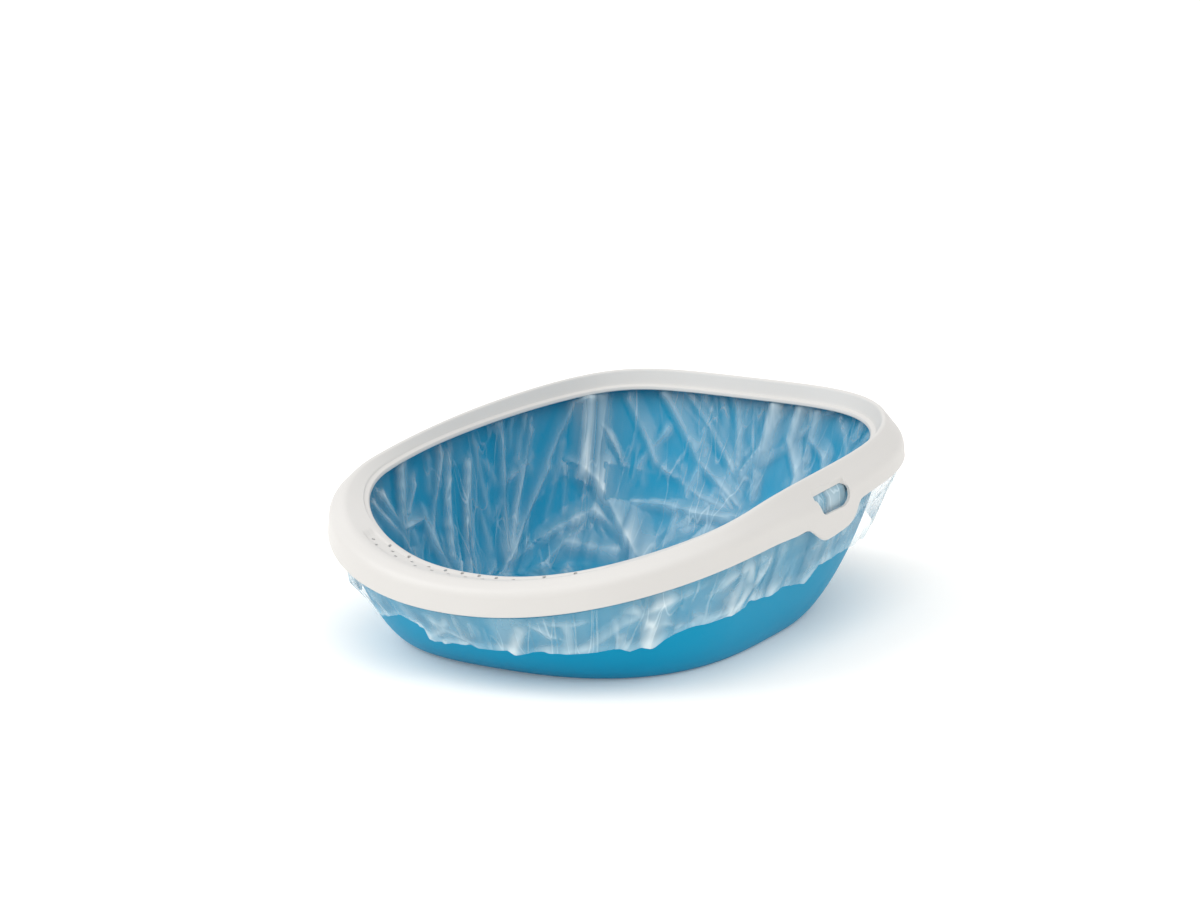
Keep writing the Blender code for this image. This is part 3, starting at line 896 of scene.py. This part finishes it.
def film_folds(wall_place, rng):
    """Every fold of the film on its unrolled plane, where the second axis is the distance from the
    floor's edge up the wall, and the outside starts past 1 metre."""

    def place(share, up):
        return np.array([share * ROUND, wall_place(up)])

    folds = [(h / 1000, w / 1000, [place(*p) for p in line]) for h, w, line in FOLDS]
    for k in range(UPPER_RAYS):
        share = RAY_ENDS[0] - k * (RAY_ENDS[0] - RAY_ENDS[1]) / (UPPER_RAYS - 1)
        hub = place(RAY_HUB + rng.normal(0, 0.003), 0.50 + rng.normal(0, 0.03))
        end = place(share + rng.normal(0, 0.002), 0.94)
        folds.append((rng.uniform(0.0015, 0.0034), rng.uniform(0.005, 0.010), [hub, end]))
    for k in range(LOWER_RAYS):
        hub = place(RAY_HUB + rng.normal(0, 0.003), 0.46 + rng.normal(0, 0.03))
        end = place(0.430 + k * 0.014, rng.uniform(0.02, 0.2))
        folds.append((rng.uniform(0.0015, 0.0030), rng.uniform(0.006, 0.011), [hub, end]))
    folds += random_folds(rng, 150, 0.0, 0.10, (0.0014, 0.0042), (0.006, 0.015), 0.50, (0.02, 0.08))
    folds += random_folds(rng, 70, -0.10, 0.03, (0.0014, 0.0040), (0.010, 0.022), 1.2, (0.03, 0.08))
    folds += random_folds(rng, 95, 0.985, 1.040, (0.0012, 0.0040), (0.008, 0.022), 0.75, (0.03, 0.07))
    return folds


def build_film(ring):
    """The film's folded mesh, with its unrolled place as UVs and, as an attribute, its haze together with
    painted light on the folds' sides and crests.
    """
    rows, parts, marks, wall_length = film_rows(ring)
    rng = np.random.default_rng(FILM_SEED)
    wall_marks = marks[parts == "wall"]
    lengths = np.linspace(0, wall_length, len(wall_marks))

    def wall_place(share):
        return np.interp(share, wall_marks, lengths) if share >= 0 else share * FLOOR_LENGTH

    place = np.zeros(rows.shape[:2] + (2,))
    place[..., 0] = ring.round[None] * ROUND
    for r, (part, mark) in enumerate(zip(parts, marks)):
        if part == "floor":
            place[r, :, 1] = mark
        elif part == "wall":
            place[r, :, 1] = wall_place(mark)
        elif part == "hidden":
            place[r, :, 1] = wall_length + HIDDEN_STEP * (r - np.argmax(parts == "hidden"))
        else:
            place[r, :, 1] = 1.0 + mark * hem_drop(ring.round)
    flat = place.reshape(-1, 2)
    field = fold_field(flat, film_folds(wall_place, rng)).reshape(rows.shape[:2])
    wave = np.sin(flat[:, 0] * 47 + 3 * np.sin(flat[:, 1] * 31))
    wave *= np.sin(flat[:, 1] * 60 + flat[:, 0] * 21)
    field += 0.0006 * (1 + wave.reshape(field.shape))
    stand_off = np.zeros(rows.shape[:2])
    keep = np.ones(rows.shape[:2])
    share_round = ring.round
    latch = np.minimum(np.abs(ring.y - LATCH_Y) / 0.055, 1) ** 4
    for r, (part, mark) in enumerate(zip(parts, marks)):
        if part == "wall":
            bridge = 0.0035 * np.exp(-(((mark - 0.09) / 0.09) ** 2))
            stand_off[r] = bridge * (1 + 0.5 * np.sin(share_round * 90) * np.sin(share_round * 37))
            keep[r] = 1 - smooth_step(0.90, 0.97, mark)
        elif part == "floor":
            keep[r] = smooth_step(0.0, 0.3, 1 + mark / FLOOR_LENGTH) * 0.8
        elif part == "hidden":
            keep[r] = 0.0
        else:
            below = mark * hem_drop(share_round)
            free = smooth_step(0.0, 0.010, below)
            keep[r] = free * np.where(below < 0.020, latch, np.maximum(latch, 0.5))
            bulge = np.exp(-(((share_round - 0.325) / 0.030) ** 2))
            stand_off[r] = 0.003 * bulge * mark * free
    normals = -grid_normals(rows)
    folded = rows + normals * (field * keep + stand_off)[..., None]
    raised = field * keep
    # Painted light: how steeply the folds rise round the pan. Below, this makes one side of every fold
    # whiter.
    slope = np.gradient(raised, axis=1) * FILM_COLUMNS / ROUND
    across = np.roll(raised, 1, axis=1) + np.roll(raised, -1, axis=1) - 2 * raised
    along_rows = np.zeros_like(raised)
    along_rows[1:-1] = raised[2:] + raised[:-2] - 2 * raised[1:-1]
    # How sharply the folds bend over. Below, this whitens their crests, partly as crease whitening and
    # partly as a painted highlight.
    crest = np.clip(-(across + along_rows) / CREST_BEND, 0, 1)
    for _ in range(2):
        crest = (crest + np.roll(crest, 1, axis=1) + np.roll(crest, -1, axis=1)) / 3
        crest[1:-1] = (crest[1:-1] + crest[2:] + crest[:-2]) / 3
    # The film's haze is milkiness where it stands off the pan, plus painted light: the slope term paints
    # one side of each fold whiter, and the crest term paints a highlight along the crests.
    haze_and_painted_light = 0.06 + 30 * raised + 12 * stand_off + np.clip(0.30 * slope, -0.07, 0.14) + 0.30 * crest
    shares_up = np.zeros(rows.shape[:2])
    haze_and_painted_light[parts == "hidden"] = HIDDEN_HAZE
    for r, (part, mark) in enumerate(zip(parts, marks)):
        shares_up[r] = {"wall": mark, "floor": mark / FLOOR_LENGTH}.get(part, NOT_ON_WALL)
        if part == "outside":
            haze_and_painted_light[r] += 0.17 + 0.16 * smooth_step(0.72, 0.95, mark)
    rounds = np.broadcast_to(share_round, shares_up.shape)
    wall_points = np.stack([rounds, shares_up], axis=-1).reshape(-1, 2)
    for corners in CLEAR_PATCHES:
        clear = inside_polygon(wall_points, corners).reshape(haze_and_painted_light.shape)
        haze_and_painted_light[clear] *= CLEAR_SHARE
    haze_and_painted_light = np.clip(haze_and_painted_light, *HAZE_AND_PAINTED_LIGHT_LIMITS)
    count, columns = folded.shape[:2]
    centre = folded[0].mean(axis=0)
    points = np.vstack([folded.reshape(-1, 3), centre])
    mesh = bpy.data.meshes.new("liner_film_bag")
    mesh.from_pydata(points.tolist(), [], grid_faces(count, columns))
    uv = mesh.uv_layers.new(name="film")
    corner_vertex = np.zeros(len(mesh.loops), int)
    mesh.loops.foreach_get("vertex_index", corner_vertex)
    spots = np.vstack([flat, [0.0, -0.15]])[corner_vertex]
    starts = np.zeros(len(mesh.polygons), int)
    totals = np.zeros(len(mesh.polygons), int)
    mesh.polygons.foreach_get("loop_start", starts)
    mesh.polygons.foreach_get("loop_total", totals)
    polygon = np.repeat(np.arange(len(starts)), totals)
    largest = np.maximum.reduceat(spots[:, 0], starts)[polygon]
    spots[:, 0] += np.where(largest - spots[:, 0] > ROUND / 2, ROUND, 0.0)
    uv.data.foreach_set("uv", spots.astype(np.float32).ravel())
    attribute = mesh.attributes.new("haze_and_painted_light", "FLOAT", "POINT")
    attribute.data.foreach_set("value", np.append(haze_and_painted_light.ravel(), 0.3).astype(np.float32))
    return link_object("liner_film_bag", mesh)


def length_property(name, description, default, low, high):
    return bpy.props.FloatProperty(
        name=name, description=description, default=default, min=low, max=high, unit="LENGTH"
    )


def colour_property(name, description, hex_code):
    return bpy.props.FloatVectorProperty(
        name=name, description=description, subtype="COLOR", size=4, default=linear(hex_code),
        min=0.0, max=1.0,
    )


class LitterTraySizes(bpy.types.PropertyGroup):
    """Sizes that a user would change."""

    rim_wall: length_property("Rim wall", "Thickness of the rim's plastic", 0.0022, 0.001, 0.004)
    pan_wall: length_property("Pan wall", "Thickness of the pan's plastic", 0.0022, 0.001, 0.004)
    hole_radius: length_property(
        "Hole radius", "Radius of the entry's perforations", 0.0015, 0.0005, 0.003
    )
    hole_pitch: length_property(
        "Hole pitch", "Distance between neighbouring holes in a row", 0.015, 0.006, 0.03
    )


class LitterTrayColours(bpy.types.PropertyGroup):
    """Colours that a user would change."""

    rim: colour_property("Rim", "Colour of the rim and its latches", "D4D2CF")
    rim_shade: colour_property(
        "Rim shade", "Slightly deeper colour that drifts through the rim", "CDCBC8"
    )
    pan: colour_property("Pan", "Colour of the pan", "0096BE")
    pan_shade: colour_property(
        "Pan shade", "Slightly deeper colour that drifts through the pan", "008DB4"
    )
    film: colour_property("Film", "Tint of the film where it is nearly clear", "C4E4EE")
    film_haze: colour_property("Film haze", "Colour of the film where it is milky", "E4EEF1")
    floor: colour_property("Floor", "Colour of the studio floor", "FCFAF7")


def white_plastic():
    """The rim's and the latches' polypropylene, made once."""
    colours = bpy.context.scene.litter_tray_colours
    found = bpy.data.materials.get("white_polypropylene_moulded")
    return found or moulded_plastic(
        "white_polypropylene_moulded", colours.rim, colours.rim_shade, 0.40, 0.45, 0.8, 0.05
    )


def rim_grid():
    """The ring, its two skins, the tabs' top row and the two latch zones."""
    shares, first, last = rim_stations()
    ring = Ring(shares)
    outer, inner, top_row = rim_rows(ring, bpy.context.scene.litter_tray_sizes.rim_wall)
    zones = {"right": (first, last), "left": (ring.count - last, ring.count - first)}
    return ring, outer, inner, top_row, zones


class LITTERTRAY_OT_pan(bpy.types.Operator):
    """Build the blue pan, with its flange and the two catches"""

    bl_idname = "litter_tray.pan"
    bl_label = "Pan"

    def execute(self, context):
        sizes, colours = context.scene.litter_tray_sizes, context.scene.litter_tray_colours
        ring = Ring(np.linspace(0, 1, 181))
        shares, _ = wall_shares(44, 1.0)
        rows = ring.floor_loops((0.10, 0.35, 0.60, 0.80, 0.93, 0.98))
        rows += [ring.wall(s) for s in shares]
        top = np.stack(ring.tray_top(), axis=1)
        _, crease_up = ring.crease()
        reach = CREASE_INSET + FLANGE_REACH
        shoulder = np.stack([np.full(ring.count, reach), crease_up - 0.0018], axis=1)
        hem = np.stack([np.full(ring.count, reach), crease_up - 0.0062], axis=1)
        start = top + np.array([-0.0012, 0.0004])
        flange = [start] + [start + (shoulder - start) * s for s in (0.25, 0.5, 0.75)]
        before = start + (shoulder - start) * 0.86
        after = shoulder + (hem - shoulder) * 0.4
        flange += [before, *bezier(before, shoulder, after, 4), after, hem]
        rows += [ring.loop(row[:, 0], row[:, 1]) for row in flange]
        points = np.vstack([np.vstack(rows), [[*FLOOR_MIDDLE, FLOOR]]])
        mesh = bpy.data.meshes.new("pan")
        mesh.from_pydata(points.tolist(), [], grid_faces(len(rows), ring.count))
        pan = link_object("pan", mesh)
        wall = pan.modifiers.new("Wall", "SOLIDIFY")
        wall.thickness = sizes.pan_wall
        wall.offset = 1.0
        wall.use_even_offset = True
        round_edge = pan.modifiers.new("Edges", "BEVEL")
        round_edge.width = 0.0006
        round_edge.segments = 2
        round_edge.limit_method = "ANGLE"
        round_edge.angle_limit = math.radians(50)
        settle(pan)
        self.add_catches(pan, ring)
        material = moulded_plastic(
            "blue_polypropylene_moulded", colours.pan, colours.pan_shade, 0.42, 0.12, 0.9, 0.04
        )
        shade(pan, 38)
        pan.data.materials.append(material)
        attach(pan, "tray")
        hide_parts("tray_pan")
        return {"FINISHED"}

    def add_catches(self, pan, ring):
        """A chamfered ledge on each side, which the rim's window snaps over."""
        height = skirt_height(LATCH_Y)
        side = ring.line[: ring.count // 2]
        skirt_x = float(np.interp(LATCH_Y, side[:, 1], side[:, 0]))
        walls = np.array([ring.wall(s)[: ring.count // 2] for s in np.linspace(0.3, 1, 20)])
        low, high = height + CATCH_UP[0], height + CATCH_UP[1]
        work = bmesh.new()
        work.from_mesh(pan.data)
        for sign in (1, -1):
            corners = []
            for y in np.linspace(LATCH_Y - CATCH_HALF, LATCH_Y + CATCH_HALF, 9):
                spots = np.array([[np.interp(y, w[:, 1], w[:, a]) for a in (0, 2)] for w in walls])
                root_low = np.interp(low, spots[:, 1], spots[:, 0]) + 0.0012
                root_high = np.interp(high, spots[:, 1], spots[:, 0]) + 0.0012
                face = skirt_x - CATCH_INSET
                profile = [
                    (root_low, low), (face - 0.0010, low), (face, low + 0.0010),
                    (face, high - 2 * CATCH_CHAMFER), (face - CATCH_CHAMFER, high), (root_high, high),
                ]
                corners.append([work.verts.new((sign * x, y, z)) for x, z in profile])
            made = []
            for a, b in zip(corners, corners[1:]):
                for i in range(6):
                    made.append(work.faces.new((a[i], a[(i + 1) % 6], b[(i + 1) % 6], b[i])))
            made.append(work.faces.new(corners[0]))
            made.append(work.faces.new(corners[-1]))
            bmesh.ops.recalc_face_normals(work, faces=made)
        work.to_mesh(pan.data)
        work.free()


class LITTERTRAY_OT_rim(bpy.types.Operator):
    """Build the white rim, with its perforated entry"""

    bl_idname = "litter_tray.rim"
    bl_label = "Rim"

    def execute(self, context):
        sizes = context.scene.litter_tray_sizes
        ring, outer, inner, top_row, zones = rim_grid()
        material = white_plastic()
        rim = rim_solid("rim", ring, outer, inner, top_row, list(zones.values()), tab=False)
        finish_mesh(rim, material, 34)
        points = perforation_points(ring, outer, sizes.hole_pitch)
        holes = rim.modifiers.new("Perforations", "NODES")
        holes.node_group = perforation_tree()
        set_inputs(holes, {
            "Points": points, "Hole radius": sizes.hole_radius, "Cut depth": CUT_DEPTH,
            "Material": material,
        })
        settle(rim)
        bpy.data.objects.remove(points)
        shade(rim, 34)
        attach(rim, "rim")
        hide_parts("rim_frame")
        return {"FINISHED"}


class LITTERTRAY_OT_latches(bpy.types.Operator):
    """Build the two latch tabs, with their windows and finger scoops"""

    bl_idname = "litter_tray.latches"
    bl_label = "Latches"

    def execute(self, context):
        ring, outer, inner, top_row, zones = rim_grid()
        height = skirt_height(LATCH_Y)
        corners = [(y, height + up, radius) for y, up, radius in WINDOW]
        for side, sign in (("right", 1), ("left", -1)):
            tab = rim_solid(f"latch_{side}", ring, outer, inner, top_row, [zones[side]], tab=True)
            finish_mesh(tab, white_plastic(), 34)
            window = prism(f"window_{side}", rounded_polygon(corners), sign * 0.14, sign * 0.22)
            cut = tab.modifiers.new("Window", "BOOLEAN")
            cut.operation = "DIFFERENCE"
            cut.solver = "MANIFOLD"
            cut.object = window
            settle(tab)
            bpy.data.objects.remove(window)
            shade(tab, 30)
            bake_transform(tab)
            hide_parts(f"latch_tab_{side}")
        return {"FINISHED"}


class LITTERTRAY_OT_liner(bpy.types.Operator):
    """Build the film liner bag"""

    bl_idname = "litter_tray.liner"
    bl_label = "Liner bag"

    def execute(self, context):
        colours = context.scene.litter_tray_colours
        liner = build_film(Ring(np.linspace(0, 1, FILM_COLUMNS // 2 + 1)))
        shade(liner, 24)
        liner.data.materials.append(
            clear_film("polyethylene_film_blown", colours.film, colours.film_haze)
        )
        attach(liner, "tray")
        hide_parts("liner_bag")
        return {"FINISHED"}


class LITTERTRAY_OT_stage(bpy.types.Operator):
    """Build the studio floor, the lights and the camera"""

    bl_idname = "litter_tray.stage"
    bl_label = "Stage"

    def execute(self, context):
        scene = context.scene
        mesh = bpy.data.meshes.new("studio_floor")
        signs = ((-1, -1), (1, -1), (1, 1), (-1, 1))
        mesh.from_pydata([(x * FLOOR_REACH, y * FLOOR_REACH, 0) for x, y in signs], [], [(0, 1, 2, 3)])
        floor = link_object("studio_floor", mesh)
        mesh.materials.append(studio_floor("studio_floor_matt", scene.litter_tray_colours.floor))
        world = bpy.data.worlds.new("studio")
        world.use_nodes = True
        world.node_tree.nodes["Background"].inputs["Color"].default_value = (1.0, 1.0, 1.0, 1.0)
        world.node_tree.nodes["Background"].inputs["Strength"].default_value = 0.84
        scene.world = world
        for name, towards, strength, spread in (
            ("key", (-0.85, -0.60, 0.90), 0.95, 40.0),
            ("top", (0.30, -0.35, 1.0), 0.75, 50.0),
        ):
            light = bpy.data.lights.new(name, "SUN")
            light.energy = strength
            light.angle = math.radians(spread)
            obj = link_object(name, light)
            obj.rotation_euler = Vector(towards).to_track_quat("Z", "Y").to_euler()
        azimuth, elevation = math.radians(AZIMUTH), math.radians(ELEVATION)
        back = Vector((
            math.sin(azimuth) * math.cos(elevation), -math.cos(azimuth) * math.cos(elevation),
            math.sin(elevation),
        ))
        camera = bpy.data.cameras.new("camera")
        camera.lens = LENS
        camera.sensor_width = 36.0
        camera.clip_end = 100.0
        obj = link_object("camera", camera)
        aim = Vector(AIM)
        turn = (-back).to_track_quat("-Z", "Y").to_matrix()
        turn = turn @ Matrix.Rotation(math.radians(PITCH_UP), 3, "X")
        turn = turn @ Matrix.Rotation(math.radians(YAW_LEFT), 3, "Y")
        obj.location = aim + back * DISTANCE
        obj.rotation_euler = turn.to_euler()
        scene.camera = obj
        scene.view_settings.view_transform = "Standard"
        return {"FINISHED"}


class LITTERTRAY_PT_panel(bpy.types.Panel):
    """Lists the tray's pieces, sizes and colours"""

    bl_idname = "LITTERTRAY_PT_panel"
    bl_label = "Litter tray"
    bl_space_type = "VIEW_3D"
    bl_region_type = "UI"
    bl_category = "Litter tray"

    def draw(self, context):
        for operator in OPERATORS:
            self.layout.operator(operator.bl_idname)
        for group in (context.scene.litter_tray_sizes, context.scene.litter_tray_colours):
            for name in group.__annotations__:
                self.layout.prop(group, name)


OPERATORS = (
    LITTERTRAY_OT_pan, LITTERTRAY_OT_rim, LITTERTRAY_OT_latches, LITTERTRAY_OT_liner,
    LITTERTRAY_OT_stage,
)
CLASSES = (LitterTraySizes, LitterTrayColours, *OPERATORS, LITTERTRAY_PT_panel)


def register():
    for item in CLASSES:
        bpy.utils.register_class(item)
    bpy.types.Scene.litter_tray_sizes = bpy.props.PointerProperty(type=LitterTraySizes)
    bpy.types.Scene.litter_tray_colours = bpy.props.PointerProperty(type=LitterTrayColours)


def unregister():
    del bpy.types.Scene.litter_tray_colours
    del bpy.types.Scene.litter_tray_sizes
    for item in reversed(CLASSES):
        bpy.utils.unregister_class(item)


def main():
    register()
    for operator in OPERATORS:
        group, name = operator.bl_idname.split(".")
        getattr(getattr(bpy.ops, group), name)()


if __name__ == "__main__":
    main()
